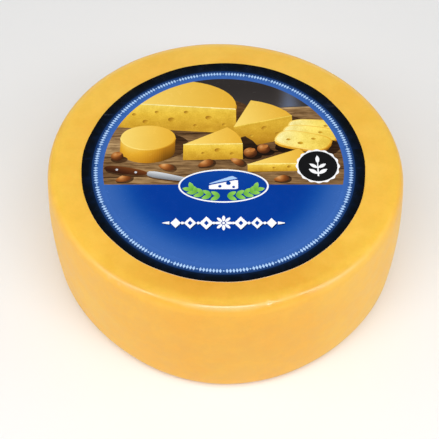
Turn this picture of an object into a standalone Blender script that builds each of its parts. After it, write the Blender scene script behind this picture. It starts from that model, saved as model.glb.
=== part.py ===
"""A whole drum-shaped cheese in a waxy coat, with a round printed label lying on its top face.

Metres, +Z up. The wheel stands on its flat base at Z = 0, with the middle of its bounding box over the origin.
The label reads from the -Y side.
"""

import math

import bmesh
import bpy

# The wheel before it goes out of round, measured over its bulging side
WHEEL_RADIUS = 0.120
WHEEL_HEIGHT = 0.098

# The corner between top and side: a soft fall, the pressed edge, then the round down to the side.
# Each arc is its radius, the direction in which it ends, in degrees below level, and its steps.
SHOULDER_ARCS = ((0.040, 9.0, 2), (0.0031, 53.0, 4), (0.0134, 85.0, 3))
SIDE_STEPS = 6  # the side bulges in one arc, as far off upright at its top as at its foot
FOOT_RADIUS = 0.0115
FOOT_STEPS = 7

# How far the wheel is out of round: lobes, share of the radius, and the first lobe's direction in degrees.
# The second list grows from nothing at the top to its full share at the base, where the cheese has settled.
PLAN_LOBES = ((2, 0.0119, -24.0), (3, 0.0056, 13.0))
SETTLED_LOBES = ((2, 0.0077, -24.0), (4, 0.0115, 0.0))

# The label: a round sheet with a slightly uneven cut edge, its middle a little off the wheel's
LABEL_RADIUS = 0.0942
LABEL_MIDDLE = (-0.0010, -0.0015)
LABEL_THICKNESS = 0.0004
LABEL_CUT_LOBES = ((3, 0.0016, 75.0), (11, 0.0012, 10.0), (17, 0.0010, 130.0))
CLEARANCE = 0.0003  # between the label and the cheese under it

ROUND_STEPS = 96
LABEL_STEPS = 144
SMOOTH_BELOW = math.radians(40.0)

CHEESE_COLOUR = (0.91, 0.50, 0.085, 1.0)
LABEL_COLOUR = (0.012, 0.060, 0.345, 1.0)


def clear_scene():
    """Removes everything that the file opened with."""
    for obj in list(bpy.data.objects):
        bpy.data.objects.remove(obj)


def plain_material(name, colour, roughness):
    """A Principled material of one colour, not metallic."""
    material = bpy.data.materials.new(name)
    material.use_nodes = True
    shader = material.node_tree.nodes["Principled BSDF"]
    shader.inputs["Base Color"].default_value = colour
    shader.inputs["Roughness"].default_value = roughness
    shader.inputs["Metallic"].default_value = 0.0
    return material


def lobes_at(lobes, angle):
    """The share of the radius that a list of lobes adds at an angle in radians."""
    return sum(share * math.cos(count * (angle - math.radians(first))) for count, share, first in lobes)


def arc_after(start, radius, begins, ends, steps):
    """The points after start along an arc that turns from one direction to another, in degrees below level."""
    points = []
    for step in range(1, steps + 1):
        first = math.radians(begins)
        turned = math.radians(begins + (ends - begins) * step / steps)
        out = radius * (math.sin(turned) - math.sin(first))
        down = radius * (math.cos(first) - math.cos(turned))
        points.append((start[0] + out, start[1] - down))
    return points


def shoulder_points():
    """The shoulder's points, out and down from where the flat top ends, and its last direction."""
    points = [(0.0, 0.0)]
    direction = 0.0
    for radius, ends, steps in SHOULDER_ARCS:
        points += arc_after(points[-1], radius, direction, ends, steps)
        direction = ends
    return points, direction


def wheel_profile():
    """Radius and height from the rim of the flat top, down over shoulder, side and foot, to the rim of the base."""
    shoulder, steep = shoulder_points()
    shoulder_out, shoulder_down = shoulder[-1]
    foot_height = FOOT_RADIUS * (1.0 - math.cos(math.radians(steep)))
    side_height = WHEEL_HEIGHT + shoulder_down - foot_height
    side_radius = side_height / (2.0 * math.cos(math.radians(steep)))
    bulge = side_radius * (1.0 - math.sin(math.radians(steep)))
    flat_radius = WHEEL_RADIUS - bulge - shoulder_out

    points = [(flat_radius + out, WHEEL_HEIGHT + down) for out, down in shoulder]
    points += arc_after(points[-1], side_radius, steep, 180.0 - steep, SIDE_STEPS)
    points += arc_after(points[-1], FOOT_RADIUS, 180.0 - steep, 180.0, FOOT_STEPS)
    return points


def wheel_ring(radius, height):
    """One level of the wheel, out of round by its lobes."""
    settled = 1.0 - height / WHEEL_HEIGHT
    ring = []
    for step in range(ROUND_STEPS):
        angle = math.tau * step / ROUND_STEPS
        swell = 1.0 + lobes_at(PLAN_LOBES, angle) + settled * lobes_at(SETTLED_LOBES, angle)
        ring.append((radius * swell * math.cos(angle), radius * swell * math.sin(angle), height))
    return ring


def label_ring(height):
    """The label's cut edge at one height."""
    ring = []
    for step in range(LABEL_STEPS):
        angle = math.tau * step / LABEL_STEPS
        radius = LABEL_RADIUS * (1.0 + lobes_at(LABEL_CUT_LOBES, angle))
        x = LABEL_MIDDLE[0] + radius * math.cos(angle)
        y = LABEL_MIDDLE[1] + radius * math.sin(angle)
        ring.append((x, y, height))
    return ring


def solid_from_rings(name, rings, material):
    """Bridges the rings from top to bottom, closes both ends with a flat face, and links the solid as an object."""
    shape = bmesh.new()
    loops = [[shape.verts.new(point) for point in ring] for ring in rings]
    for upper, lower in zip(loops, loops[1:]):
        for this in range(len(upper)):
            following = (this + 1) % len(upper)
            shape.faces.new((upper[this], lower[this], lower[following], upper[following]))
    shape.faces.new(loops[0])
    shape.faces.new(reversed(loops[-1]))
    bmesh.ops.recalc_face_normals(shape, faces=shape.faces)

    mesh = bpy.data.meshes.new(name)
    shape.to_mesh(mesh)
    shape.free()
    mesh.materials.append(material)
    mesh.shade_smooth()
    mesh.set_sharp_from_angle(angle=SMOOTH_BELOW)
    made = bpy.data.objects.new(name, mesh)
    bpy.context.scene.collection.objects.link(made)
    return made


def make_wheel():
    """The cheese itself, one solid."""
    rings = [wheel_ring(radius, height) for radius, height in wheel_profile()]
    return solid_from_rings("cheese_wheel", rings, plain_material("waxy_coat", CHEESE_COLOUR, 0.38))


def make_label():
    """The round printed sheet that lies on the flat top."""
    underside = WHEEL_HEIGHT + CLEARANCE
    rings = [label_ring(underside + LABEL_THICKNESS), label_ring(underside)]
    return solid_from_rings("label", rings, plain_material("printed_film", LABEL_COLOUR, 0.30))


def set_over_origin(wheel, others):
    """Moves the meshes sideways together, so that the middle of the wheel's bounding box is over the origin."""
    for axis in (0, 1):
        reach = [vertex.co[axis] for vertex in wheel.data.vertices]
        middle = (min(reach) + max(reach)) / 2.0
        for obj in [wheel] + others:
            for vertex in obj.data.vertices:
                vertex.co[axis] -= middle


def main():
    """Builds the wheel and its label."""
    clear_scene()
    wheel = make_wheel()
    label = make_label()
    set_over_origin(wheel, [label])


main()
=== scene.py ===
"""A whole drum-shaped cheese in golden wax with a round printed label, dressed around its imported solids.

The wheel and its label are surfaces worked out with numpy. Metres, +Z up, the label's reader at -Y.
The label's print is drawn in millimetres about the middle of the print.
"""

import math
from collections import namedtuple

import bpy
import numpy as np
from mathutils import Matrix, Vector
from mathutils.geometry import delaunay_2d_cdt


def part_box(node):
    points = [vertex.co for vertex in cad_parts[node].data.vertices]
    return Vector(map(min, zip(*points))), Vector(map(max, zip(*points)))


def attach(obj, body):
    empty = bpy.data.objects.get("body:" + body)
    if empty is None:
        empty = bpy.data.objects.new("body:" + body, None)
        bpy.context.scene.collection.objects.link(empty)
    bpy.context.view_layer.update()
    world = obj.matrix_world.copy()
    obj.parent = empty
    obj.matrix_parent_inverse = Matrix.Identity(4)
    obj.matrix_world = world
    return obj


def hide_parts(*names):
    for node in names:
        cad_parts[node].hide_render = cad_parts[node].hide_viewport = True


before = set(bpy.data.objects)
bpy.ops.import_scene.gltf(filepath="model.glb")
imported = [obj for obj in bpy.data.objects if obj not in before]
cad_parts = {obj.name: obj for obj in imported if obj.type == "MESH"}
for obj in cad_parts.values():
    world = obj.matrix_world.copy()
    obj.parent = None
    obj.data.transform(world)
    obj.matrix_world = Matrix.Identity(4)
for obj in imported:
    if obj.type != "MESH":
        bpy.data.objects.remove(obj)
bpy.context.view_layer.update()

MM = 0.001
TURN = 2.0 * math.pi

# The wheel's driving sizes, the same as its solid's
WHEEL_RADIUS = 0.120
WHEEL_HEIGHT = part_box("cheese_wheel")[1].z
SHOULDER_ARCS = ((0.040, 9.0, 5), (0.0031, 53.0, 14), (0.0134, 85.0, 8))  # radius, last slope, steps
SIDE_STEPS = 26
FOOT_RADIUS = 0.0115
FOOT_STEPS = 10
PLAN_LOBES = ((2, 0.0119, -24.0), (3, 0.0056, 13.0))  # count round, share of the radius, direction
SETTLED_LOBES = ((2, 0.0077, -24.0), (4, 0.0115, 0.0))
ROUND_STEPS = 720
TOP_RINGS = 12
BASE_RINGS = 6

# The wheel's unevenness, kept to the inside of the solid
RELIEF_DEPTH = 0.00030
RELIEF_LEAST = 0.25  # the least share of that depth where the relief is whole
RELIEF_WAVES = 26
RELIEF_ROUND = (2, 19)  # the fewest waves round the wheel, and one past the most
RELIEF_RUN = 28.0  # the most waves a metre along the profile
RELIEF_SEED = 11
LABEL_CLEAR_RADIUS = 0.0975  # the top is left level inside this
RELIEF_FADE = 0.012  # how far outside it the relief grows to its whole depth
RELIEF_FOOT = 0.004  # how far above the base it does

# The pressed edge, crisp round the front. Directions are in degrees from -Y
CRISP_MIDDLE = 0.5
CRISP_WITHIN, SOFT_BEYOND = 35.0, 51.0
RUBBED_PLACES = (
    (-16.2, 8.2, 0.98),
    (12.0, 3.0, 0.75),
    (20.0, 4.6, 0.98),
    (-35.0, 1.5, 0.25),
    (41.0, 4.0, 0.30),
)
RUB_DEPTH = 0.00050
RUB_WIDTH = 0.0022
NICKS = ((13.6, 0.0000, 0.0013), (-38.5, 0.0030, 0.0013), (-34.5, 0.0034, 0.0011))
NICK_DEPTH = 0.00035

# Where the wax changes: metres past the pressed edge's middle, along the profile
SIDE_BEGINS, SIDE_WHOLE = -0.001, 0.004
RIM_MIDDLE, RIM_WIDTH = -0.0035, 0.0048
SHINE_MIDDLE, SHINE_WIDTH = 0.0005, 0.0020
# A painted highlight: a pale strip under the pressed edge at the front, and a faint one all round
HIGHLIGHT_PAINT_BEGINS, HIGHLIGHT_PAINT_WHOLE, HIGHLIGHT_PAINT_FADES, HIGHLIGHT_PAINT_ENDS = -0.0004, 0.0006, 0.0004, 0.0040
HIGHLIGHT_PAINT_SIDEWAYS = 12.5  # degrees each side of the front
FAINT_HIGHLIGHT_PAINT_MIDDLE, FAINT_HIGHLIGHT_PAINT_WIDTH, FAINT_HIGHLIGHT_PAINT = 0.0043, 0.0022, 0.12

# The label's driving sizes
LABEL_LOW, LABEL_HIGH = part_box("label")
LABEL_RADIUS = 94.2  # mm, as are all sizes of the print
LABEL_CUT_LOBES = ((3, 0.0016, 75.0), (11, 0.0012, 10.0), (17, 0.0010, 130.0))
LABEL_CUT_STEPS = 306
PRINT_MIDDLE = (0.0, -1.4)  # the print's middle from the sheet's
LABEL_SHIFT = (0.00045, -0.0013)  # how the sheet lies off its solid, in metres
BAND_RADIUS = 0.928 * LABEL_RADIUS
RING_RADIUS = 0.848 * LABEL_RADIUS
PICTURE_FOOT = -16.2  # the straight foot of the picture, below the print's middle
PICTURE_STEPS = 90
FIELD_STEPS = 240
GRID_STEP = 2.2
GRID_SHIFT = (0.37, 0.53)  # keeps the grid off the print's lines of symmetry
GRID_REACH = 0.955 * LABEL_RADIUS
JOIN_DISTANCE = 1e-4
INSIDE_FACES = 1  # has delaunay_2d_cdt keep the triangles that lie inside a given face
EDGE_FALL = 0.12
EDGE_FALL_WIDTH = 2.5
UNDER_GAP = 0.00005  # between the wheel's top and the label's underside, in metres
PICTURE_FIELD = 3  # the picture's place among the label's fields

# Radii on the label's map for the bake, whose side is 1, and the place of the underside on it
MAP_SHEET = 0.465
MAP_WALL_TOP, MAP_WALL_FOOT = 0.480, 0.495
MAP_UNDER = 0.045
MAP_UNDER_PLACE = 0.055


def linear(colours):
    """Screen colours from 0 to 255 as linear light.

    With v as the share of 255, it is v / 12.92 when small, and else (v + 0.055) / 1.055 to the power 2.4.
    """
    value = np.asarray(colours, float) / 255.0
    return np.where(value <= 0.04045, value / 12.92, ((value + 0.055) / 1.055) ** 2.4)


def smooth_step(low, high, value):
    """0 below low and 1 above high, with 3 t squared minus 2 t cubed between them."""
    share = np.clip((value - low) / (high - low), 0.0, 1.0)
    return share * share * (3.0 - 2.0 * share)


def bell(value, middle, width, power=2):
    """1 at the middle and falling each way: exp of minus the distance over the width, to a power."""
    return np.exp(-(((value - middle) / width) ** power))


def round_angles(count):
    """A number of angles evenly spaced once round."""
    return TURN * np.arange(count) / count


def round_steps(count):
    """The numbers of a ring's points, and for each the number of the next."""
    step = np.arange(count)
    return step, (step + 1) % count


def polar(radius, angle):
    """Flat places at a radius and an angle: radius times cosine across, and radius times sine up."""
    return np.column_stack((radius * np.cos(angle), radius * np.sin(angle)))


def lobes_at(lobes, angle):
    """The share of the radius added at an angle: the sum of share times cos(count (angle - direction))."""
    return sum(share * np.cos(count * (angle - math.radians(first))) for count, share, first in lobes)


# Wheel

def arc_after(start, radius, begins, ends, steps):
    """Points along an arc after start: out by radius times the change in sine, down by that in cosine."""
    first = math.radians(begins)
    turned = np.radians(begins + (ends - begins) * np.arange(1, steps + 1) / steps)
    out = radius * (np.sin(turned) - math.sin(first))
    down = radius * (math.cos(first) - np.cos(turned))
    return np.column_stack((start[0] + out, start[1] - down))


def wheel_profile():
    """Radius and height from the top's middle, over shoulder, side and foot, to the base's middle.

    The shoulder is three arcs, the side one shallow arc as far off upright at its top as at its foot, and the
    foot one more arc. The pressed edge is the tightest arc. Also gives how far each point is along the line,
    and where the pressed edge's middle is.
    """
    shoulder = np.zeros((1, 2))
    direction = 0.0
    edge_rows = (0, 0)
    for radius, ends, steps in SHOULDER_ARCS:
        rows = len(shoulder)
        shoulder = np.vstack((shoulder, arc_after(shoulder[-1], radius, direction, ends, steps)))
        if radius == min(arc[0] for arc in SHOULDER_ARCS):
            edge_rows = (rows, len(shoulder))
        direction = ends
    steep = math.radians(direction)
    side_height = WHEEL_HEIGHT + shoulder[-1, 1] - FOOT_RADIUS * (1.0 - math.cos(steep))
    side_radius = side_height / (2.0 * math.cos(steep))
    bulge = side_radius * (1.0 - math.sin(steep))
    flat_radius = WHEEL_RADIUS - bulge - shoulder[-1, 0]

    shoulder = shoulder + (flat_radius, WHEEL_HEIGHT)
    side = arc_after(shoulder[-1], side_radius, direction, 180.0 - direction, SIDE_STEPS)
    foot = arc_after(side[-1], FOOT_RADIUS, 180.0 - direction, 180.0, FOOT_STEPS)
    out = np.linspace(0.0, flat_radius, TOP_RINGS + 1)
    back = np.linspace(foot[-1, 0], 0.0, BASE_RINGS + 1)
    top = np.column_stack((out, np.full(TOP_RINGS + 1, WHEEL_HEIGHT)))
    base = np.column_stack((back, np.zeros(BASE_RINGS + 1)))
    line = np.vstack((top[:-1], shoulder, side, foot, base[1:]))
    along = np.concatenate(([0.0], np.cumsum(np.linalg.norm(np.diff(line, axis=0), axis=1))))
    edge_row = TOP_RINGS + (edge_rows[0] + edge_rows[1]) // 2
    return line, along, along[edge_row]


def outward(line):
    """The outward direction at each point of the profile: its tangent turned a quarter turn."""
    tangent = np.gradient(line, axis=0)
    tangent /= np.linalg.norm(tangent, axis=1, keepdims=True)
    return np.column_stack((-tangent[:, 1], tangent[:, 0]))


def relief(angle, along):
    """Unevenness from 0 to 1: a seeded sum of cosine waves round and along the wheel.

    A wave's size is 1 / (4 + its count round). Two standard deviations of the sum each way fill 0 to 1.
    """
    draw = np.random.default_rng(RELIEF_SEED)
    total = np.zeros(np.broadcast(angle, along).shape)
    most = 0.0
    for _ in range(RELIEF_WAVES):
        round_count = draw.integers(*RELIEF_ROUND)
        run_count = draw.uniform(-RELIEF_RUN, RELIEF_RUN)
        size = 1.0 / (4.0 + round_count)
        total += size * np.cos(round_count * angle + TURN * run_count * along + draw.uniform(0.0, TURN))
        most += size * size
    return np.clip(0.5 + total / (4.0 * math.sqrt(most / 2.0)), 0.0, 1.0)


def degrees_from_front(angle):
    """Directions in degrees from -Y, positive to the reader's right."""
    return np.degrees(np.angle(np.exp(1j * (angle + math.pi / 2.0))))


def edge_softness(angle):
    """Where the pressed edge is rubbed down, 0 crisp to 1 soft.

    It is a smooth step between two directions each way from the middle of the crisp stretch. At a rubbed
    place it is at least that place's share times a bell to the fourth power. Each place is given by its
    middle, its half width and its share.
    """
    from_front = degrees_from_front(angle)
    soft = smooth_step(CRISP_WITHIN, SOFT_BEYOND, np.abs(from_front - CRISP_MIDDLE))
    for middle, width, depth in RUBBED_PLACES:
        soft = np.maximum(soft, depth * bell(from_front, middle, width, 4))
    return soft


def nicks(angle, past_edge):
    """How deep a few small dabs go in: the depth times a bell of the distance from each middle over its size.

    Each is given by its direction from -Y in degrees, how far it lies past the edge, and its size.
    """
    bells = np.zeros(np.broadcast(angle, past_edge).shape)
    for direction, past, size in NICKS:
        turned = angle + math.pi / 2.0 - math.radians(direction) - TURN * (angle > math.pi)
        round_way = WHEEL_RADIUS * turned
        bells += np.exp(-(round_way ** 2 + (past_edge - past) ** 2) / size ** 2)
    return NICK_DEPTH * bells


def quads_between(rings, steps):
    """Four-cornered faces between each ring of points and the next, each ring closed on itself."""
    first, step = np.meshgrid(np.arange(rings - 1) * steps, np.arange(steps), indexing="ij")
    after = (step + 1) % steps
    corners = (first + step, first + steps + step, first + steps + after, first + after)
    return np.stack(corners, -1).reshape(-1, 4)


def closed_by_poles(name, rings, top, base):
    """A mesh of rings joined row to row, with a fan to a point at each end."""
    rows, steps = rings.shape[:2]
    step, after = round_steps(steps)
    last = (rows - 1) * steps
    top_fan = np.column_stack((np.full(steps, rows * steps), step, after))
    base_fan = np.column_stack((np.full(steps, rows * steps + 1), last + after, last + step))
    places = np.vstack((rings.reshape(-1, 3), top, base))
    faces = quads_between(rows, steps).tolist() + top_fan.tolist() + base_fan.tolist()
    mesh = bpy.data.meshes.new(name)
    mesh.from_pydata(places.tolist(), [], faces)
    mesh.shade_smooth()
    return mesh


def add_values(mesh, name, values, domain="POINT"):
    """Stores one number for each point or corner of a mesh, for its material to read."""
    values = np.asarray(values, np.float32).ravel()
    mesh.attributes.new(name, "FLOAT", domain).data.foreach_set("value", values)


def place_in_scene(name, mesh, material):
    """An object at the origin that shows a mesh in one material."""
    mesh.materials.append(material)
    made = bpy.data.objects.new(name, mesh)
    bpy.context.scene.collection.objects.link(made)
    return made


def wax_shares(angle, past_edge):
    """What the wax's material reads, from 0 to 1, by direction and by distance past the pressed edge.

    The side's share rises over the edge, and the rim's is a bell just above it. The painted highlight is a
    pale strip under the edge at the front, and a faint one all round. The shine follows the nicks, and the
    edge where it is crisp.
    """
    side = smooth_step(SIDE_BEGINS, SIDE_WHOLE, past_edge) * np.ones_like(angle)
    rim = bell(past_edge, RIM_MIDDLE, RIM_WIDTH) * np.ones_like(angle)
    # Painted highlight: pale under the edge at the front, and faint all round
    painted_highlight = bell(degrees_from_front(angle), 0.0, HIGHLIGHT_PAINT_SIDEWAYS, 4)
    painted_highlight = painted_highlight * smooth_step(HIGHLIGHT_PAINT_BEGINS, HIGHLIGHT_PAINT_WHOLE, past_edge)
    painted_highlight = painted_highlight * smooth_step(HIGHLIGHT_PAINT_ENDS, HIGHLIGHT_PAINT_FADES, past_edge)
    painted_highlight = painted_highlight + FAINT_HIGHLIGHT_PAINT * bell(past_edge, FAINT_HIGHLIGHT_PAINT_MIDDLE, FAINT_HIGHLIGHT_PAINT_WIDTH)
    shine = (1.0 - edge_softness(angle)) * bell(past_edge, SHINE_MIDDLE, SHINE_WIDTH)
    shine = np.minimum(1.0, shine + nicks(angle, past_edge) / NICK_DEPTH)
    return {"side_share": side, "rim_share": rim, "painted_highlight": painted_highlight, "edge_shine": shine}


def make_wheel():
    """The wheel's surface.

    A point is radius times (1 + plan lobes + settled lobes times the share fallen) at its angle. It is then
    pushed in along the profile's normal by the relief, the nicks, and the rubbed edge where that is soft.
    """
    line, along, edge_along = wheel_profile()
    normal = outward(line)
    angle = round_angles(ROUND_STEPS)
    radius, height = line[1:-1, :1], line[1:-1, 1:]
    settled = 1.0 - height / WHEEL_HEIGHT
    swell = 1.0 + lobes_at(PLAN_LOBES, angle) + settled * lobes_at(SETTLED_LOBES, angle)
    x, y = radius * swell * np.cos(angle), radius * swell * np.sin(angle)
    middle = np.array(((x.min() + x.max()) / 2.0, (y.min() + y.max()) / 2.0))

    run = along[1:-1, None]
    past_edge = run - edge_along
    past_label = smooth_step(LABEL_CLEAR_RADIUS, LABEL_CLEAR_RADIUS + RELIEF_FADE, run)
    above_base = smooth_step(0.0, RELIEF_FOOT, height)
    depth_share = RELIEF_LEAST + (1.0 - RELIEF_LEAST) * relief(angle, run)
    dent = RELIEF_DEPTH * (past_label * above_base) * depth_share
    rubbed = edge_softness(angle) * bell(past_edge, 0.0, RUB_WIDTH)
    push = dent + RUB_DEPTH * rubbed + nicks(angle, past_edge)
    x = x - push * normal[1:-1, :1] * np.cos(angle)
    y = y - push * normal[1:-1, :1] * np.sin(angle)
    z = np.clip(height - push * normal[1:-1, 1:], 0.0, WHEEL_HEIGHT)
    rings = np.stack((x - middle[0], y - middle[1], z), -1)
    axis = -middle
    mesh = closed_by_poles("wax_coated_wheel", rings, (*axis, WHEEL_HEIGHT), (*axis, 0.0))
    for name, values in wax_shares(angle, past_edge).items():
        add_values(mesh, name, np.concatenate((values.ravel(), (0.0, values[-1, 0]))))
    return place_in_scene("wax_coated_wheel", mesh, golden_wax())


# Materials

class Recipe:
    """A node tree being put together: it makes nodes, sets their values and links them."""

    def __init__(self, tree):
        self.tree = tree

    def feed(self, socket, value):
        """Links a socket, or sets its value."""
        if isinstance(value, bpy.types.NodeSocket):
            self.tree.links.new(value, socket)
        else:
            socket.default_value = value

    def add(self, kind, values=(), **settings):
        """A new node with its settings, and its inputs by name or number."""
        made = self.tree.nodes.new(kind)
        for name, value in settings.items():
            setattr(made, name, value)
        for socket, value in dict(values).items():
            self.feed(made.inputs[socket], value)
        return made

    def calculate(self, operation, *values):
        """The result of a Math node."""
        return self.add("ShaderNodeMath", enumerate(values), operation=operation).outputs[0]

    def spread(self, value, low, high, least=0.0, most=1.0):
        """A value carried smoothly from low..high to least..most."""
        values = {"Value": value, "From Min": low, "From Max": high, "To Min": least, "To Max": most}
        return self.add("ShaderNodeMapRange", values, interpolation_type="SMOOTHSTEP").outputs["Result"]

    def blend(self, amount, under, over, way="MIX"):
        """Two colours mixed by an amount."""
        made = self.add("ShaderNodeMix", {"Factor": amount}, data_type="RGBA", blend_type=way)
        self.feed(made.inputs[6], under)
        self.feed(made.inputs[7], over)
        return made.outputs[2]

    def tint(self, colour, amount, least, most):
        """A colour multiplied by a tint that goes from least to most with an amount."""
        return self.blend(1.0, colour, self.blend(amount, rgba(least), rgba(most)), "MULTIPLY")

    def noise(self, at, size, detail=2.0, roughness=0.5):
        """Cloudy noise whose patches are about a size in metres."""
        values = {"Vector": at, "Scale": 1.0 / size, "Detail": detail, "Roughness": roughness}
        return self.add("ShaderNodeTexNoise", values).outputs["Fac"]

    def value_of(self, name):
        """A number stored on the mesh."""
        return self.add("ShaderNodeAttribute", attribute_name=name).outputs["Fac"]

    def place(self):
        """Object coordinates."""
        return self.add("ShaderNodeTexCoord").outputs["Object"]

    def group(self, tree, **values):
        """A shared effect, with its named inputs."""
        made = self.add("ShaderNodeGroup", node_tree=tree)
        for name, value in values.items():
            self.feed(made.inputs[name], value)
        return made

    def raise_skin(self, shader, height):
        """Gives a shader relief whose height is in metres."""
        bump = self.add("ShaderNodeBump", {"Height": height, "Strength": 1.0, "Distance": 1.0})
        self.feed(shader.inputs["Normal"], bump.outputs["Normal"])


def new_material(name):
    """An empty material with its recipe and its Principled shader."""
    material = bpy.data.materials.new(name)
    material.use_nodes = True
    return material, Recipe(material.node_tree), material.node_tree.nodes["Principled BSDF"]


def rgba(colour):
    """A linear colour with full cover, for a socket."""
    return (*[float(part) for part in colour], 1.0)


def screen(red, green, blue):
    """A colour by its screen values from 0 to 255, for a socket."""
    return rgba(linear((red, green, blue)))


def new_group(name, inputs, outputs):
    """A shader group with named sockets, and its recipe."""
    tree = bpy.data.node_groups.new(name, "ShaderNodeTree")
    for label, kind, value in inputs:
        socket = tree.interface.new_socket(name=label, in_out="INPUT", socket_type=kind)
        if value is not None:
            socket.default_value = value
    for label, kind in outputs:
        tree.interface.new_socket(name=label, in_out="OUTPUT", socket_type=kind)
    recipe = Recipe(tree)
    return tree, recipe, recipe.add("NodeGroupInput").outputs, recipe.add("NodeGroupOutput").inputs


def make_mottle_group():
    """Uneven tone at two sizes: broad patches, and spots a sixth of their size, from 0 to 1 about 0.5."""
    inputs = (
        ("At", "NodeSocketVector", None),
        ("Size", "NodeSocketFloat", 0.03),
        ("Spots", "NodeSocketFloat", 0.4),
    )
    outputs = (("Tone", "NodeSocketFloat"), ("Fine", "NodeSocketFloat"))
    tree, recipe, given, wanted = new_group("mottle", inputs, outputs)
    scale = recipe.calculate("DIVIDE", 1.0, given["Size"])
    broad = recipe.add("ShaderNodeTexNoise", {"Vector": given["At"], "Scale": scale, "Detail": 2.0})
    fine_scale = recipe.calculate("MULTIPLY", scale, 6.0)
    fine = recipe.add("ShaderNodeTexNoise", {"Vector": given["At"], "Scale": fine_scale})
    about_zero = recipe.calculate("SUBTRACT", fine.outputs["Fac"], 0.5)
    fine_part = recipe.calculate("MULTIPLY", about_zero, given["Spots"])
    recipe.feed(wanted["Tone"], recipe.calculate("ADD", broad.outputs["Fac"], fine_part))
    recipe.feed(wanted["Fine"], fine.outputs["Fac"])
    return tree


MOTTLE = make_mottle_group()


def golden_wax():
    """Satin golden wax.

    The top is deeper at its front and brighter in a rim above the pressed edge. The side is peachier, but
    yellower at the flanks and towards the foot, with a painted highlight as a pale strip under the edge.
    Patches and spots vary it all over.
    """
    material, recipe, shader = new_material("golden_wax")
    at = recipe.place()
    side, rim = recipe.value_of("side_share"), recipe.value_of("rim_share")
    cloudy = recipe.group(MOTTLE, At=at, Size=0.034, Spots=0.35)
    small = recipe.group(MOTTLE, At=at, Size=0.011, Spots=0.6)

    apart = recipe.add("ShaderNodeSeparateXYZ", {"Vector": at}).outputs
    at_front = recipe.spread(apart["Y"], -0.060, -0.105)
    top = recipe.blend(at_front, screen(247, 192, 70), screen(229, 164, 50))
    top = recipe.blend(recipe.calculate("MULTIPLY", rim, 0.60), top, screen(247, 196, 68))
    at_flank = recipe.spread(recipe.calculate("ABSOLUTE", apart["X"]), 0.015, 0.100)
    wall = recipe.blend(at_flank, screen(239, 174, 49), screen(240, 181, 51))
    at_foot = recipe.spread(apart["Z"], 0.070, 0.015)
    wall = recipe.tint(wall, at_foot, (1.0, 1.0, 1.0), (1.0, 1.02, 0.90))
    colour = recipe.blend(side, top, wall)
    # Painted highlight: a pale strip under the pressed edge, widening the edge's highlight
    colour = recipe.blend(recipe.value_of("painted_highlight"), colour, screen(237, 196, 112))
    patches = recipe.spread(cloudy.outputs["Tone"], 0.30, 0.70)
    colour = recipe.tint(colour, patches, (0.985, 0.955, 0.87), (1.0, 1.035, 1.10))
    spots = recipe.spread(small.outputs["Tone"], 0.28, 0.74)
    colour = recipe.tint(colour, spots, (0.96, 0.97, 0.94), (1.005, 1.02, 1.04))
    recipe.feed(shader.inputs["Base Color"], colour)

    rough = recipe.spread(small.outputs["Tone"], 0.3, 0.7, 0.40, 0.50)
    recipe.feed(shader.inputs["Roughness"], rough)
    shine = recipe.calculate("MULTIPLY", recipe.value_of("edge_shine"), 0.85)
    recipe.feed(shader.inputs["Coat Weight"], recipe.calculate("ADD", shine, 0.06))
    shader.inputs["Coat Roughness"].default_value = 0.28
    shader.inputs["Coat IOR"].default_value = 1.8
    shader.inputs["Subsurface Weight"].default_value = 0.12
    shader.inputs["Subsurface Radius"].default_value = (1.0, 0.45, 0.12)
    shader.inputs["Subsurface Scale"].default_value = 0.004

    lumps = recipe.calculate("MULTIPLY", cloudy.outputs["Tone"], 0.00030)
    skin = recipe.calculate("MULTIPLY", recipe.noise(at, 0.0030, 1.0), 0.000012)
    recipe.raise_skin(shader, recipe.calculate("ADD", lumps, skin))
    return material


def printed_film():
    """The label's film: its inks, with wood grain and curd where the picture has them, under a soft gloss."""
    material, recipe, shader = new_material("printed_film")
    at = recipe.place()
    ink = recipe.add("ShaderNodeAttribute", attribute_name="ink").outputs["Color"]

    long_way = {"Vector": at, "Rotation": (0, 0, 0.10), "Scale": (0.10, 1.0, 1.0)}
    stretched = recipe.add("ShaderNodeMapping", long_way).outputs["Vector"]
    grain = recipe.spread(recipe.noise(stretched, 0.0011, 3.0, 0.65), 0.3, 0.7)
    grained = recipe.tint(ink, grain, (0.50, 0.42, 0.34), (1.35, 1.32, 1.25))
    ink = recipe.blend(recipe.value_of("wood"), ink, grained)
    curd = recipe.group(MOTTLE, At=at, Size=0.0065, Spots=0.9)
    mottled = recipe.tint(ink, curd.outputs["Tone"], (0.80, 0.72, 0.50), (1.18, 1.24, 1.60))
    ink = recipe.blend(recipe.value_of("curd"), ink, mottled)
    press = recipe.group(MOTTLE, At=at, Size=0.030, Spots=0.25)
    colour = recipe.tint(ink, press.outputs["Tone"], (0.93, 0.93, 0.94), (1.07, 1.07, 1.06))
    recipe.feed(shader.inputs["Base Color"], colour)

    rough = recipe.spread(press.outputs["Fine"], 0.3, 0.7, 0.20, 0.28)
    recipe.feed(shader.inputs["Roughness"], rough)
    shader.inputs["Specular IOR Level"].default_value = 0.25
    recipe.raise_skin(shader, recipe.calculate("MULTIPLY", press.outputs["Tone"], 0.00010))
    return material


# Print

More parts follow.
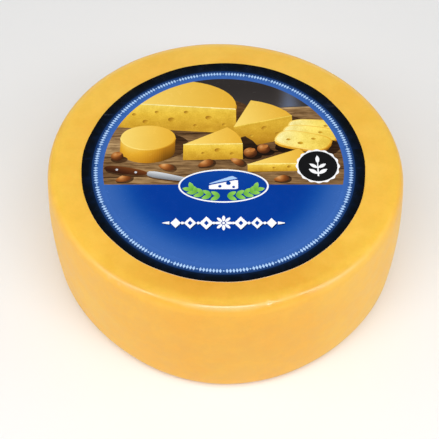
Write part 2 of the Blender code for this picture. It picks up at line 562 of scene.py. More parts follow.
# The screen colours of each ink at some of its tones, which go from 0 to 1
INKS = {
    "edge": ((0.0, (214, 206, 190)),),
    "band": ((0.0, (4, 6, 9)), (0.4, (2, 12, 24)), (1.0, (8, 30, 62))),
    "ring": ((0.0, (18, 48, 96)), (0.6, (50, 92, 158)), (1.0, (57, 102, 179))),
    "blue": ((0.0, (0, 57, 151)), (0.35, (7, 68, 158)), (1.0, (54, 99, 175))),
    "pale": ((0.0, (172, 206, 246)),),
    "white": ((0.0, (252, 253, 255)),),
    "night": ((0.0, (4, 34, 88)),),
    "green": ((0.0, (84, 158, 50)), (1.0, (148, 208, 92))),
    "black": ((0.0, (20, 20, 22)),),
    "backdrop": ((0.0, (30, 26, 25)), (0.5, (62, 57, 55)), (1.0, (104, 116, 142))),
    "wood": ((0.0, (26, 15, 8)), (0.35, (84, 58, 34)), (0.7, (150, 120, 82)), (1.0, (212, 186, 144))),
    "curd": ((0.0, (104, 62, 12)), (0.35, (192, 140, 32)), (0.6, (234, 192, 60)), (0.8, (251, 227, 108)),
             (1.0, (254, 248, 190))),
    "rind": ((0.0, (84, 50, 8)), (0.4, (186, 124, 24)), (0.7, (230, 172, 46)), (1.0, (255, 226, 124))),
    "nut": ((0.0, (46, 20, 8)), (0.4, (126, 68, 26)), (0.75, (188, 118, 56)), (1.0, (242, 200, 142))),
    "steel": ((0.0, (52, 52, 58)), (0.5, (146, 150, 156)), (1.0, (244, 246, 250))),
}

# One field of the print: its outline, its ink, a function for the ink's tone at each place, and whether it
# belongs to the picture, which shows only inside the picture's own field
Patch = namedtuple("Patch", "outline ink tone pictured")


def even(tone):
    """One tone all over."""
    return lambda at: np.full(at.shape[:-1], tone)


def fade(start, end, first, last):
    """A tone that runs evenly from first at one place to last at another, by the way along their line."""
    start, run = np.array(start, float), np.subtract(end, start)
    return lambda at: first + (last - first) * np.clip((at - start) @ run / (run @ run), 0.0, 1.0)


def domed(middle, size, low, high):
    """A rounded form lit from the upper left: its tone falls away from a point up and left of its middle."""
    lit = np.array(middle) + np.array((-0.35, 0.40)) * size
    reach = 1.45 * size
    return lambda at: high - (high - low) * smooth_step(0.0, reach, np.linalg.norm(at - lit, axis=-1))


def rising(low, high):
    """A tone that rises from 0 to 1 between two distances from the print's middle."""
    return lambda at: smooth_step(low, high, np.linalg.norm(at, axis=-1))


def falling(low, high):
    """A tone that falls from 1 to 0 between two distances from the print's middle."""
    return lambda at: 1.0 - rising(low, high)(at)


def oval(middle, across, up, turned=0.0, steps=24):
    """An ellipse: middle plus across times cosine and up times sine, turned by some degrees."""
    angle = round_angles(steps)
    return turn(np.column_stack((across * np.cos(angle), up * np.sin(angle))), turned) + middle


def turn(points, degrees):
    """Points turned about their origin: x cosine less y sine, and x sine plus y cosine."""
    cosine, sine = math.cos(math.radians(degrees)), math.sin(math.radians(degrees))
    return np.asarray(points, float) @ np.array(((cosine, sine), (-sine, cosine)))


def lozenge(middle, half_width, half_height):
    """An upright diamond, its corners straight right, above, left and below its middle."""
    return np.array(((half_width, 0), (0, half_height), (-half_width, 0), (0, -half_height)), float) + middle


def bar(start, end, width, end_width=None):
    """A straight stroke, half its width to each side of the line from start to end, which may taper."""
    start, end = np.array(start, float), np.array(end, float)
    side = np.array((start[1] - end[1], end[0] - start[0])) / np.linalg.norm(end - start) / 2.0
    last = width if end_width is None else end_width
    return np.array((start - side * width, end - side * last, end + side * last, start + side * width))


def cut_corners(points, share=0.14, times=2):
    """Rounds an outline: each corner gives way to two points a share of the way along its two edges."""
    points = np.asarray(points, float)
    for _ in range(times):
        after = np.roll(points, -1, axis=0)
        cut = (after - points) * share
        points = np.stack((points + cut, after - cut), 1).reshape(-1, 2)
    return points


def drawn(outline, ink, tone=0.0, in_picture=False):
    """A field of the print. An outline whose area by the cross products is negative is turned round."""
    outline = np.asarray(outline, float)
    after = np.roll(outline, -1, axis=0)
    if np.sum(outline[:, 0] * after[:, 1] - outline[:, 1] * after[:, 0]) < 0.0:
        outline = outline[::-1]
    return Patch(outline, ink, tone if callable(tone) else even(tone), in_picture)


def pictured(outline, ink, tone=0.0):
    """A field of the picture."""
    return drawn(outline, ink, tone, True)


def label_fields():
    """The sheet's dark band, the ring inside it, the blue field and the picture's field.

    The sheet's cut edge is its radius times (1 + lobes), about the sheet's own middle. The picture's field is
    the ring's arc above a straight foot.
    """
    angle = round_angles(LABEL_CUT_STEPS)
    sheet = polar(LABEL_RADIUS * (1.0 + lobes_at(LABEL_CUT_LOBES, angle)), angle) - PRINT_MIDDLE
    start = math.asin(PICTURE_FOOT / RING_RADIUS)
    picture = polar(RING_RADIUS, np.linspace(start, math.pi - start, PICTURE_STEPS))
    band = oval((0, 0), BAND_RADIUS, BAND_RADIUS, steps=FIELD_STEPS)
    ring = oval((0, 0), RING_RADIUS, RING_RADIUS, steps=FIELD_STEPS)
    return [
        drawn(sheet, "band", falling(BAND_RADIUS - 1.5, LABEL_RADIUS * 0.975)),
        drawn(band, "ring", falling(RING_RADIUS + 1.5, BAND_RADIUS + 0.8)),
        drawn(ring, "blue", rising(50.0, 80.0)),
        drawn(picture, "backdrop", backdrop_tone),
    ]


def ring_ornament():
    """A chain of lozenges round the ring, every eighth place a dot."""
    radius, places = 0.8985 * LABEL_RADIUS, 256
    link = lozenge((radius, 0.0), 1.60, 0.90)
    dot = oval((radius, 0.0), 0.55, 0.55, steps=8)
    shapes = [link if number % 8 else dot for number in range(places)]
    return [drawn(turn(shape, 360.0 * number / places), "pale") for number, shape in enumerate(shapes)]


# Picture

TABLE_TILT = math.radians(36.0)  # how steeply the pictured board is looked down on
SUN = np.array((-0.52, -0.42, 0.74)) / np.linalg.norm((-0.52, -0.42, 0.74))
BOARD_TURN = 5.0
BOARD_FAR = 84.0
BOARD_END = 120.0  # past the picture's ends
PLANK_EDGES = (-200.0, -11.0, 18.0, 50.0, BOARD_FAR)
PLANK_TONES = (0.05, -0.04, 0.03, -0.02)
CAST_SHADE = -0.36
ARC_STEP = 9.0  # about how many degrees apart the points of a wedge's arc are

# Soft ovals of shade on the board: the middle's two places, half width, half height and depth
SOFT_SHADOWS = (
    (-34.0, 30.0, 46.0, 9.0, 0.30),
    (20.0, 12.0, 30.0, 9.0, 0.30),
    (56.0, 22.0, 26.0, 9.0, 0.22),
    (0.0, -24.0, 60.0, 9.0, 0.25),
    (-78.0, -8.0, 14.0, 16.0, 0.25),
)


def on_print(points):
    """Table places on the print: across stays, and up is depth times the tilt's sine, height its cosine."""
    points = np.asarray(points, float)
    up = points[:, 1] * math.sin(TABLE_TILT) + points[:, 2] * math.cos(TABLE_TILT)
    return np.column_stack((points[:, 0], up))


def at_height(points, height):
    """Flat table places lifted to a height."""
    return np.column_stack((points, np.full(len(points), float(height))))


def backdrop_tone(at):
    """The dark room behind: even, but for a bell across at one upright streak and a step up at the board."""
    streak = 0.45 * bell(at[..., 0], 46.0, 7.0)
    return 0.28 + streak + 0.22 * smooth_step(75.0, 45.0, at[..., 1])


def board_tone(at):
    """The board's light: brighter at its far left, darker in soft ovals where food stands on it.

    It slopes evenly up and across the print. Each oval takes off its depth times exp of minus the distance
    squared, with the distance as a share of the oval's half sizes.
    """
    tone = 0.70 + 0.0016 * (at[..., 1] - 20.0) - 0.0014 * at[..., 0]
    for x, y, wide, deep, depth in SOFT_SHADOWS:
        tone = tone - depth * np.exp(-(((at[..., 0] - x) / wide) ** 2) - ((at[..., 1] - y) / deep) ** 2)
    return np.clip(tone, 0.05, 1.0)


def board_tone_changed(change):
    """The board's light, made lighter or darker all over."""
    return lambda at: board_tone(at) + change


def on_board(outline, change):
    """A field that lies on the board, in its wood and with its light changed."""
    return pictured(on_print(at_height(outline, 0)), "wood", board_tone_changed(change))


def along_board(place, width):
    """A stroke from end to end of the board, at a distance from the reader."""
    return turn(bar((-BOARD_END, place), (BOARD_END, place), width), BOARD_TURN)


def board():
    """The planks of a straight-edged board, a dark joint between each two, and a light lip at the back."""
    patches = []
    for near, far, change in zip(PLANK_EDGES, PLANK_EDGES[1:], PLANK_TONES):
        corners = ((-BOARD_END, near), (BOARD_END, near), (BOARD_END, far), (-BOARD_END, far))
        patches.append(on_board(turn(corners, BOARD_TURN), change))
    for edge in PLANK_EDGES[1:-1]:
        patches.append(on_board(along_board(edge, 1.5), -0.32))
    return patches + [on_board(along_board(BOARD_FAR, 2.4), 0.16)]


def cast_shadow(outline, height):
    """A solid's shadow on the board: its outline, the same moved away from the sun, and each edge's sweep."""
    moved = outline - SUN[:2] / SUN[2] * height
    shapes = [outline, moved]
    for number in range(len(outline)):
        after = (number + 1) % len(outline)
        shapes.append(np.array((outline[number], outline[after], moved[after], moved[number])))
    return [on_board(shape, CAST_SHADE) for shape in shapes]


def light_on(normal):
    """The tone of a flat face: plain light, and the sun's times the cosine between sun and normal."""
    return 0.28 + 0.74 * max(0.0, float(np.dot(normal, SUN)))


def ends_across(points):
    """The leftmost and the rightmost of some points."""
    return points[points[:, 0].argmin()], points[points[:, 0].argmax()]


def block(outline, low, high, side_inks):
    """An upright solid seen from above and the front.

    It has its near side faces, each darker at its foot, a top of rind, and a bright line along each near
    brim.
    """
    patches = []
    brims = []
    for number, ink in enumerate(side_inks):
        a, b = outline[number], outline[(number + 1) % len(outline)]
        normal = np.array((b[1] - a[1], a[0] - b[0], 0.0)) / np.linalg.norm(b - a)
        if normal[1] < 0.0:
            corners = on_print(((*a, low), (*b, low), (*b, high), (*a, high)))
            tone = light_on(normal)
            patches.append(pictured(corners, ink, fade(corners[0], corners[3], tone - 0.20, tone + 0.10)))
            brims.append(pictured(bar(corners[3], corners[2], 0.8), ink, tone + 0.30))
    top = on_print(at_height(outline, high))
    tone = light_on((0.0, 0.0, 1.0))
    patches.append(pictured(top, "rind", fade(*ends_across(top), tone + 0.14, tone - 0.10)))
    return patches + brims


def sector(tip, radius, begins, ends):
    """A slice of a round, counter-clockwise: its tip, then points on the arc between two directions."""
    angle = np.radians(np.linspace(begins, ends, max(3, round((ends - begins) / ARC_STEP))))
    return np.vstack((tip, polar(radius, angle) + tip))


def half_round(middle, radius, turned):
    """Half of a round with its cut towards the reader, counter-clockwise from the cut's left end."""
    arc = polar(radius, np.radians(np.linspace(0.0, 180.0, 21)))
    return turn(np.vstack((arc[-1:], arc[:-1])), turned) + middle


def eyes(a, b, low, high, places):
    """Round holes on the upright cut between two table places, each a circle in the plane of the cut.

    A hole is given by its share along the cut, its share up it, and its radius.
    """
    a, b = np.array(a, float), np.array(b, float)
    along = (b - a) / np.linalg.norm(b - a)
    angle = round_angles(14)
    patches = []
    for share, up, radius in places:
        across = a + (b - a) * share + along * (radius * np.cos(angle))[:, None]
        rise = low + (high - low) * up + radius * np.sin(angle)
        shape = on_print(np.column_stack((across, rise)))
        (left, foot), (right, head) = shape.min(0), shape.max(0)
        patches.append(pictured(shape, "curd", fade((left, head), (right, foot), 0.12, 0.66)))
    return patches


def eyes_above(high, places):
    """Round holes in a level face: table place and radius of each."""
    patches = []
    for x, y, radius in places:
        shape = on_print(at_height(oval((x, y), radius, radius, steps=14), high))
        patches.append(pictured(shape, "curd", fade(shape.max(0), shape.min(0), 0.62, 0.22)))
    return patches


def half_wheel():
    """The half wheel at the back left, its pale cut towards the reader."""
    outline = half_round((-32.0, 53.0), 41.0, -7.0)
    inks = ["curd"] + ["rind"] * (len(outline) - 1)
    places = ((0.14, 0.55, 1.6), (0.24, 0.28, 2.3), (0.33, 0.70, 1.5), (0.46, 0.42, 2.7), (0.58, 0.76, 1.7),
              (0.66, 0.24, 1.6), (0.77, 0.58, 2.4), (0.90, 0.34, 1.5))
    height, shadow_height = 28.0, 24.0
    patches = cast_shadow(outline, shadow_height) + block(outline, 0.0, height, inks)
    return patches + eyes(outline[0], outline[1], 0.0, height, places)


def small_drum():
    """A small whole cheese at the left, waxed like the big one."""
    outline = oval((-51.0, 22.0), 18.5, 18.5, steps=72)
    height, shadow_height = 14.5, 14.0
    return cast_shadow(outline, shadow_height) + block(outline, 0.0, height, ["rind"] * len(outline))


def wedge(tip, radius, begins, ends, height, holes):
    """A wedge cut from a wheel: golden above and on its arc, pale on its cuts."""
    outline = sector(tip, radius, begins, ends)
    inks = ["curd"] + ["rind"] * (len(outline) - 2) + ["curd"]
    patches = cast_shadow(outline, height) + block(outline, 0.0, height, inks)
    return patches + eyes(outline[0], outline[1], 0.0, height, holes)


def slices():
    """Three thin rounded slices at the right, each laid over the one behind it, pale inside a golden rim."""
    thick = 3.0
    slab = cut_corners(((-19.0, -12.0), (19.0, -12.0), (19.0, 12.0), (-19.0, 12.0)), 0.2, 3)
    patches = []
    for number, (x, y, turned) in enumerate(((63.0, 54.0, -6.0), (59.0, 40.0, -14.0), (54.0, 26.0, -22.0))):
        low, high = thick * number, thick * number + thick
        outline = turn(slab, turned) + (x, y)
        face = on_print(at_height(turn(slab * (0.95, 0.91), turned) + (x, y), high))
        holes = ((x - 10.0, y + 1.0, 1.5), (x - 2.0, y - 4.5, 2.0), (x + 7.0, y + 2.0, 1.6))
        patches += cast_shadow(outline, high)
        patches += block(outline, low, high, ["rind"] * len(outline))
        patches.append(pictured(face, "curd", fade(*ends_across(face), 0.94, 0.66)))
        patches += eyes_above(high, holes)
    return patches


def hazelnut(x, y, size):
    """A round nut with its paler cap, over its shadow."""
    middle = on_print(((x, y, size),))[0]
    foot = on_print(((x + 1.5, y + 1.0, 0.0),))[0]
    return [
        pictured(oval(foot, size * 1.35, size * 0.7), "wood", board_tone_changed(CAST_SHADE)),
        pictured(oval(middle, size, size * 0.95), "nut", domed(middle, size, 0.10, 0.86)),
        pictured(oval(middle, size * 0.55, size * 0.5, steps=12), "nut", domed(middle, size, 0.10, 0.86)),
        pictured(oval(middle + (size * 0.30, size * 0.48), size * 0.46, size * 0.30, 32.0, 12), "nut", 0.74),
    ]


def almond(x, y, size, turned):
    """A pointed nut lying flat, over its shadow.

    Its outline goes along by its size times cosine, and across by half its size times sine times
    (1 + 0.35 cosine).
    """
    middle = on_print(((x, y, 1.5),))[0]
    angle = round_angles(20)
    width = 0.50 * size * np.sin(angle) * (1.0 + 0.35 * np.cos(angle))
    shape = np.column_stack((size * np.cos(angle), width))
    shadow = turn(shape * 1.12, turned) + middle + (1.2, -0.9)
    return [
        pictured(shadow, "wood", board_tone_changed(-0.34)),
        pictured(turn(shape, turned) + middle, "nut", domed(middle, size * 0.9, 0.22, 0.90)),
        pictured(turn(shape * 0.5, turned) + middle, "nut", domed(middle, size * 0.9, 0.22, 0.90)),
    ]


def knife():
    """A small cheese knife lying on the board at the left."""
    heel, tip, butt = np.array((-51.0, -7.0)), np.array((-24.0, -12.5)), np.array((-79.0, -2.0))
    blade = cut_corners((heel + (0.0, -2.6), tip + (-2.0, -1.2), tip + (1.5, 1.8), heel + (1.2, 3.4)), 0.2)
    handle = cut_corners(bar(heel + (0.5, 0.3), butt, 5.2, 6.6), 0.25)
    patches = [
        pictured(blade + (0.9, -1.5), "wood", board_tone_changed(-0.30)),
        pictured(handle + (1.1, -1.7), "wood", board_tone_changed(-0.30)),
        pictured(blade, "steel", fade(heel + (0.0, -2.6), heel + (1.0, 3.4), 0.35, 0.95)),
        pictured(handle, "nut", fade(heel + (-8.0, -2.0), heel + (-6.0, 5.0), 0.02, 0.42)),
    ]
    for share in (0.25, 0.70):
        patches.append(pictured(oval(heel + (butt - heel) * share, 0.9, 0.9, steps=8), "steel", 0.8))
    return patches


def picture():
    """The still life: cheeses, a knife and nuts on a board, from back to front."""
    back_holes = ((0.30, 0.45, 1.5), (0.52, 0.68, 2.2), (0.74, 0.32, 1.8))
    middle_holes = ((0.34, 0.42, 1.4), (0.58, 0.60, 2.2), (0.82, 0.36, 1.6))
    front_holes = ((0.42, 0.46, 1.2), (0.66, 0.58, 1.5), (0.84, 0.40, 1.1))
    patches = board() + half_wheel()
    patches += wedge((7.0, 24.0), 44.0, 24.0, 74.0, 25.0, back_holes)
    patches += slices() + small_drum()
    patches += wedge((-27.0, 8.0), 40.0, 2.0, 42.0, 17.0, middle_holes)
    patches += wedge((16.0, -9.0), 42.0, 2.0, 34.0, 8.0, front_holes)
    for x, y, size in ((18.0, 13.0, 4.6), (27.0, 19.0, 4.4), (-71.0, 8.0, 4.2)):
        patches += hazelnut(x, y, size)
    for x, y, size, turned in ((-12.0, 1.0, 5.6, 24.0), (9.0, 4.0, 5.0, -30.0), (-38.0, -4.0, 5.4, -14.0),
                               (-66.0, -21.0, 5.4, 20.0), (38.0, -21.0, 5.2, 12.0)):
        patches += almond(x, y, size, turned)
    return patches + knife()


# Plain motifs of the print

def rosette(middle, size, petals):
    """White oval petals round a middle."""
    shapes = []
    for number in range(petals):
        petal = oval((size * 0.60, 0.0), size * 0.38, size * 0.17, steps=12)
        shapes.append(drawn(turn(petal, 360.0 * number / petals) + middle, "white"))
    return shapes + [drawn(oval(middle, size * 0.16, size * 0.16, steps=10), "white")]


def row_ornament():
    """The white row across the blue field: a rosette, lozenges and dots each side, and tapered ends."""
    level = -47.6
    shapes = []
    for side in (-1.0, 1.0):
        for away, size in ((11.0, 5.2), (21.4, 4.6), (30.6, 3.9)):
            shapes.append(lozenge((side * away, level), size * 0.86, size))
        for away, size in ((6.2, 1.0), (16.2, 1.1), (26.3, 1.1)):
            shapes.append(oval((side * away, level), size, size, steps=10))
        shapes.append(bar((side * 34.6, level), (side * 39.0, level), 2.4, 0.6))
    shadows = [drawn(shape + (0.5, -0.7), "night") for shape in shapes]
    whites = [drawn(shape, "white") for shape in shapes]
    holes = [drawn(lozenge((side * away, level), 1.6, 2.0), "blue")
             for side in (-1.0, 1.0) for away in (11.0, 21.4)]
    return shadows + whites + holes + rosette(np.array((0.0, level)), 6.0, 8)


def leaf(base, length, turned, ink, tone, fullness=0.24):
    """A pointed leaf from its base.

    With t as the share along it, its half width is fullness times its length times sin(pi t) to the power
    0.8.
    """
    share = np.linspace(0.0, 1.0, 9)
    width = fullness * length * np.sin(math.pi * share) ** 0.8
    shape = np.column_stack((np.concatenate((share, share[-2:0:-1])) * length,
                             np.concatenate((width, -width[-2:0:-1]))))
    return drawn(turn(shape, turned) + base, ink, tone)


def plaque():
    """The oval plaque at the picture's foot: a white keyline, a small cheese with holes and leafy sprays."""
    middle = np.array((0.0, -17.2))
    lift = (0.0, 1.6)
    across, up, keyline = 28.5, 12.9, 1.1
    near_cut = cut_corners(((-9.5, -4.4), (9.5, -4.4), (9.5, 3.6), (-9.5, -1.2)), 0.08, 1)
    top_face = cut_corners(((-9.5, -0.2), (9.5, 4.6), (5.6, 6.8), (-9.0, 0.6)), 0.08, 1)
    shading = fade(middle + (0, 12), middle + (0, -12), 0.30, -0.10)
    patches = [
        drawn(oval(middle, across + keyline, up + keyline, steps=72), "white"),
        drawn(oval(middle, across, up, steps=72), "blue", shading),
        drawn(near_cut + middle + lift, "white"),
        drawn(top_face + middle + lift, "pale"),
    ]
    for x, y, size in ((-2.4, -2.0, 1.15), (3.2, 0.6, 1.6), (6.6, -2.6, 1.0)):
        patches.append(drawn(oval(middle + (x, y + lift[1]), size, size, steps=12), "blue", 0.1))
    return patches + garland(middle, 22.0, 8.6)


def garland(middle, across, down):
    """Leaves in pairs up both arms of an oval's lower half.

    A pair starts at across times sine and down times cosine of its angle from straight down. Of each pair one
    leans to each side of the oval's own direction there.
    """
    patches = []
    for side in (-1.0, 1.0):
        for number in range(5):
            turned = math.radians(6.0 + 15.0 * number)
            base = middle + (side * across * math.sin(turned), -down * math.cos(turned))
            along = math.degrees(math.atan2(down * math.sin(turned), side * across * math.cos(turned)))
            for lean in (-30.0, 30.0):
                lit = fade(base, base + turn((6.0, 0.0), along + lean), 0.2, 1.0)
                patches.append(leaf(base, 7.0, along + lean, "green", lit))
    return patches


def seal():
    """The round dark seal at the right: a white sprig, in a white rim of radius + depth cos(16 angle)."""
    middle = np.array((62.6, -0.4))
    rim_radius, scallop_depth, disc_radius = 14.3, 0.45, 13.0
    angle = round_angles(96)
    scallops = polar(rim_radius + scallop_depth * np.cos(16.0 * angle), angle)
    patches = [
        drawn(scallops + middle, "white"),
        drawn(oval(middle, disc_radius, disc_radius, steps=64), "black"),
        drawn(bar(middle + (0.0, -8.6), middle + (0.0, 4.5), 1.1, 0.6), "white"),
        leaf(middle + (0.0, 2.4), 6.8, 90.0, "white", 0.0, 0.19),
    ]
    for side in (-1.0, 1.0):
        for rise, length in ((-6.6, 7.4), (-1.6, 6.6)):
            patches.append(leaf(middle + (0.0, rise), length, 90.0 - side * 56.0, "white", 0.0, 0.19))
    return patches


# Label sheet

def ink_colours(ink, tone):
    """The linear colour of an ink at each tone: its stops joined by straight lines."""
    stops = [tone_at for tone_at, _ in INKS[ink]]
    colours = np.array([colour for _, colour in INKS[ink]], float)
    return linear(np.stack([np.interp(tone, stops, colours[:, part]) for part in range(3)], -1))


def uppermost(patches, found):
    """The last field drawn of those found at a triangle, leaving out the picture's outside the picture."""
    inside = PICTURE_FIELD in found
    return max(number for number in found if inside or not patches[number].pictured)


def tile_sheet(patches):
    """Cuts the sheet along every outline into triangles.

    Gives the points in the plane, the triangles counter-clockwise, the field that each belongs to, and the
    numbers of the points along the cut edge. A square grid of loose points keeps the triangles small.
    """
    reach = np.arange(-LABEL_RADIUS, LABEL_RADIUS, GRID_STEP)
    grid = np.stack(np.meshgrid(reach, reach), -1).reshape(-1, 2) + GRID_SHIFT
    grid = grid[np.linalg.norm(grid, axis=1) < GRID_REACH]
    outlines = [patch.outline for patch in patches]
    starts = np.cumsum([0] + [len(outline) for outline in outlines])
    faces = [list(range(first, last)) for first, last in zip(starts, starts[1:])]
    points = [Vector(point) for point in np.vstack(outlines + [grid])]
    tiled = delaunay_2d_cdt(points, [], faces, INSIDE_FACES, JOIN_DISTANCE)
    places, _, triangles, from_points, _, from_faces = tiled

    places = np.array([tuple(place) for place in places])
    on_sheet = [number for number, found in enumerate(from_faces) if 0 in found]
    triangles = np.array([triangles[number] for number in on_sheet])
    a, b, c = (places[triangles[:, corner]] for corner in range(3))
    area = (b[:, 0] - a[:, 0]) * (c[:, 1] - a[:, 1]) - (b[:, 1] - a[:, 1]) * (c[:, 0] - a[:, 0])
    triangles[area < 0.0] = triangles[area < 0.0][:, ::-1]
    fields = np.array([uppermost(patches, from_faces[number]) for number in on_sheet])
    now_at = {given: number for number, several in enumerate(from_points) for given in several}
    cut_edge = np.array([now_at[given] for given in range(len(outlines[0]))])

    kept, triangles = np.unique(triangles, return_inverse=True)
    renumbered = np.full(len(places), -1)
    renumbered[kept] = np.arange(len(kept))
    return places[kept], triangles.reshape(-1, 3), fields, renumbered[cut_edge]


def sheet_height(places):
    """Heights over the label's top plane in metres: a faint waviness, and a smooth fall at the cut edge.

    The waviness in millimetres is 0.020 cos(x / 13 + 0.6) cos(y / 17) + 0.012 cos((x + 2 y) / 21 + 1), less
    the most that it can be.
    """
    x, y = places[:, 0], places[:, 1]
    away = np.linalg.norm(places + PRINT_MIDDLE, axis=1)
    waves = 0.020 * np.cos(x / 13.0 + 0.6) * np.cos(y / 17.0) + 0.012 * np.cos((x + 2.0 * y) / 21.0 + 1.0)
    fallen = smooth_step(LABEL_RADIUS - EDGE_FALL_WIDTH, LABEL_RADIUS, away)
    return MM * (waves - 0.032 - EDGE_FALL * fallen)


def sheet_normals(places):
    """Directions square to the sheet's top: minus its slope each way, and one, brought to unit length."""
    step = 0.05
    slopes = []
    for shift in ((step, 0.0), (0.0, step)):
        slopes.append((sheet_height(places + shift) - sheet_height(places - shift)) / (2.0 * step * MM))
    square = np.column_stack((-slopes[0], -slopes[1], np.ones(len(places))))
    return square / np.linalg.norm(square, axis=1, keepdims=True)


def corner_inks(patches, places, triangles, fields):
    """The colour and the picture's grains at each corner of each triangle."""
    colours = np.zeros((len(triangles), 3, 3))
    for number in np.unique(fields):
        chosen = fields == number
        patch = patches[number]
        colours[chosen] = ink_colours(patch.ink, patch.tone(places[triangles[chosen]]))
    inks = np.array([patch.ink for patch in patches])[fields]
    grains = {name: (inks == name).astype(float) for name in ("wood", "curd")}
    return colours, grains


def closed_below(top, cut_edge, middle):
    """What closes the sheet: its lower points, and the faces of the wall and of the underside.

    The lower points lie straight below the cut edge, on one level, and all are joined to one in the middle.
    """
    under_z = WHEEL_HEIGHT + UNDER_GAP
    below = top[cut_edge] * (1.0, 1.0, 0.0) + (0.0, 0.0, under_z)
    count, ring = len(top), len(cut_edge)
    step, after = round_steps(ring)
    wall_a = np.column_stack((cut_edge, count + step, count + after))
    wall_b = np.column_stack((cut_edge, count + after, cut_edge[after]))
    under = np.column_stack((np.full(ring, count + ring), count + after, count + step))
    return np.vstack((below, (*middle, under_z))), np.vstack((wall_a, wall_b, under))


def closing_normals(edge, middle):
    """Directions at the corners of the wall, level and away from the middle, and of the underside, down."""
    step, after = round_steps(len(edge))
    away = np.column_stack((edge - middle, np.zeros(len(edge))))
    away /= np.linalg.norm(away, axis=1, keepdims=True)
    wall_a = away[np.column_stack((step, step, after))]
    wall_b = away[np.column_stack((step, after, after))]
    return np.concatenate((wall_a, wall_b, np.broadcast_to((0.0, 0.0, -1.0), wall_a.shape)))


def make_label():
    """The label: a sheet tiled by its print, a wall round the cut edge, and a flat underside."""
    patches = label_fields() + picture() + ring_ornament() + plaque() + row_ornament() + seal()
    places, triangles, fields, cut_edge = tile_sheet(patches)
    colours, grains = corner_inks(patches, places, triangles, fields)

    box_middle = (LABEL_LOW + LABEL_HIGH) / 2.0
    middle = np.array((box_middle.x, box_middle.y)) + LABEL_SHIFT + np.array(PRINT_MIDDLE) * MM
    top = np.column_stack((places * MM + middle, LABEL_HIGH.z + sheet_height(places)))
    lower, closing = closed_below(top, cut_edge, middle)
    points, faces = np.vstack((top, lower)), np.vstack((triangles, closing))
    mesh = bpy.data.meshes.new("printed_label")
    mesh.from_pydata(points.tolist(), [], faces.tolist())
    mesh.shade_smooth()
    normals = np.concatenate((sheet_normals(places)[triangles], closing_normals(top[cut_edge, :2], middle)))
    mesh.normals_split_custom_set(normals.reshape(-1, 3).tolist())

    plain = np.broadcast_to(ink_colours("edge", np.zeros(3)), (len(closing), 3, 3))
    inks = np.concatenate((colours, plain)).reshape(-1, 3)
    inks = np.column_stack((inks, np.ones(len(inks)))).astype(np.float32)
    mesh.color_attributes.new("ink", "FLOAT_COLOR", "CORNER").data.foreach_set("color", inks.ravel())
    for name, values in grains.items():
        add_values(mesh, name, np.repeat(np.concatenate((values, np.zeros(len(closing)))), 3), "CORNER")
    lay_bake_map(mesh, points, faces, middle, len(triangles), len(cut_edge))
    return place_in_scene("printed_label", mesh, printed_film())


def lay_bake_map(mesh, points, faces, middle, printed, ring):
    """A flat map for the bake.

    It has the print as seen from above, the wall as a ring round it, and the underside small in a corner.
    """
    from_middle = (points[:, :2] - middle) / (LABEL_RADIUS * MM)
    direction = from_middle / np.maximum(np.linalg.norm(from_middle, axis=1, keepdims=True), 1e-9)
    is_lower = faces >= len(points) - 1 - ring
    wall = 0.5 + direction[faces] * np.where(is_lower, MAP_WALL_FOOT, MAP_WALL_TOP)[..., None]
    under = MAP_UNDER_PLACE + MAP_UNDER * from_middle[faces]
    number = np.arange(len(faces))
    is_wall = (number >= printed) & (number < printed + 2 * ring)
    is_under = number >= printed + 2 * ring
    on_map = 0.5 + MAP_SHEET * from_middle[faces]
    on_map[is_wall] = wall[is_wall]
    on_map[is_under] = under[is_under]
    mesh.uv_layers.new(name="OFBake").data.foreach_set("uv", on_map.astype(np.float32).ravel())


# Studio

CAMERA_ELEVATION = 52.92  # degrees above the floor
CAMERA_DISTANCE = 0.780
CAMERA_LENS = 89.75
CAMERA_TARGET = (-0.0038, 0.0, 0.0344)
FLOOR_HOLE, FLOOR_RADIUS = 0.02, 1.5
FLOOR_RINGS, FLOOR_STEPS = 24, 64
LIGHT_TARGET = (0.0, 0.0, 0.05)
SURROUND_LIGHT = 0.09  # how strongly the room lights the wheel
SURROUND_SEEN = 0.80  # how bright it looks itself


def aim(obj, place, target):
    """Puts an object at a place, looking at a target."""
    obj.location = place
    obj.rotation_euler = (Vector(target) - Vector(place)).to_track_quat("-Z", "Y").to_euler()
    bpy.context.scene.collection.objects.link(obj)


def make_camera():
    """The photograph's view: from the front, steeply down."""
    data = bpy.data.cameras.new("camera")
    data.lens = CAMERA_LENS
    data.sensor_width = 36.0
    camera = bpy.data.objects.new("camera", data)
    target = Vector(CAMERA_TARGET)
    lift = math.radians(CAMERA_ELEVATION)
    aim(camera, target + Vector((0.0, -math.cos(lift), math.sin(lift))) * CAMERA_DISTANCE, target)
    bpy.context.scene.camera = camera


def softbox(name, place, size, power):
    """A rectangular studio light, turned to the wheel."""
    data = bpy.data.lights.new(name, "AREA")
    data.shape = "RECTANGLE"
    data.size, data.size_y = size
    data.energy = power
    aim(bpy.data.objects.new(name, data), place, LIGHT_TARGET)


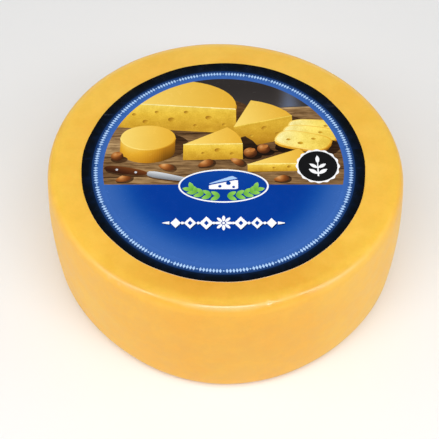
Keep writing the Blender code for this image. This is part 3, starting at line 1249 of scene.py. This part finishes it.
def make_floor():
    """A round floor of rings, each wider by one ratio than the last, finished as smooth pale card."""
    distance = np.geomspace(FLOOR_HOLE, FLOOR_RADIUS, FLOOR_RINGS)[:, None]
    angle = round_angles(FLOOR_STEPS)
    level = np.zeros((FLOOR_RINGS, FLOOR_STEPS))
    rings = np.stack((distance * np.cos(angle), distance * np.sin(angle), level), -1)
    faces = quads_between(FLOOR_RINGS, FLOOR_STEPS).tolist() + [list(range(FLOOR_STEPS))]
    mesh = bpy.data.meshes.new("floor")
    mesh.from_pydata(rings.reshape(-1, 3).tolist(), [], faces)
    material, recipe, shader = new_material("pale_card")
    cloudy = recipe.noise(recipe.place(), 0.25)
    card = recipe.blend(cloudy, rgba((0.86, 0.86, 0.86)), rgba((0.90, 0.90, 0.895)))
    recipe.feed(shader.inputs["Base Color"], card)
    shader.inputs["Roughness"].default_value = 0.85
    floor = place_in_scene("floor", mesh, material)


def light_studio():
    """A pale room that gives little light, two lights overhead, one low behind and one each side."""
    world = bpy.data.worlds.new("studio")
    world.use_nodes = True
    surround = world.node_tree.nodes["Background"].inputs
    surround["Color"].default_value = (1.0, 1.0, 1.0, 1.0)
    recipe = Recipe(world.node_tree)
    seen = recipe.add("ShaderNodeLightPath").outputs["Is Camera Ray"]
    recipe.feed(surround["Strength"], recipe.spread(seen, 0.0, 1.0, SURROUND_LIGHT, SURROUND_SEEN))
    bpy.context.scene.world = world
    bpy.context.scene.view_settings.view_transform = "Standard"
    softbox("overhead_strip", (0.0, -0.64, 0.95), (1.9, 0.30), 7.7)
    softbox("overhead_softbox", (0.0, -0.75, 2.3), (2.4, 1.0), 24.8)
    softbox("back_softbox", (0.0, 1.7, 0.50), (2.2, 0.7), 9.5)
    for side in (-1.0, 1.0):
        softbox("side_softbox", (side * 1.42, -0.50, 0.50), (1.5, 0.9), 9.0)


def main():
    """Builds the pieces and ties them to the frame."""
    wheel = make_wheel()
    label = make_label()
    for piece, node, slot in ((wheel, "cheese_wheel", "waxy_coat"), (label, "label", "printed_film")):
        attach(piece, "root")
        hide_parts(node)
    make_camera()
    make_floor()
    light_studio()


main()
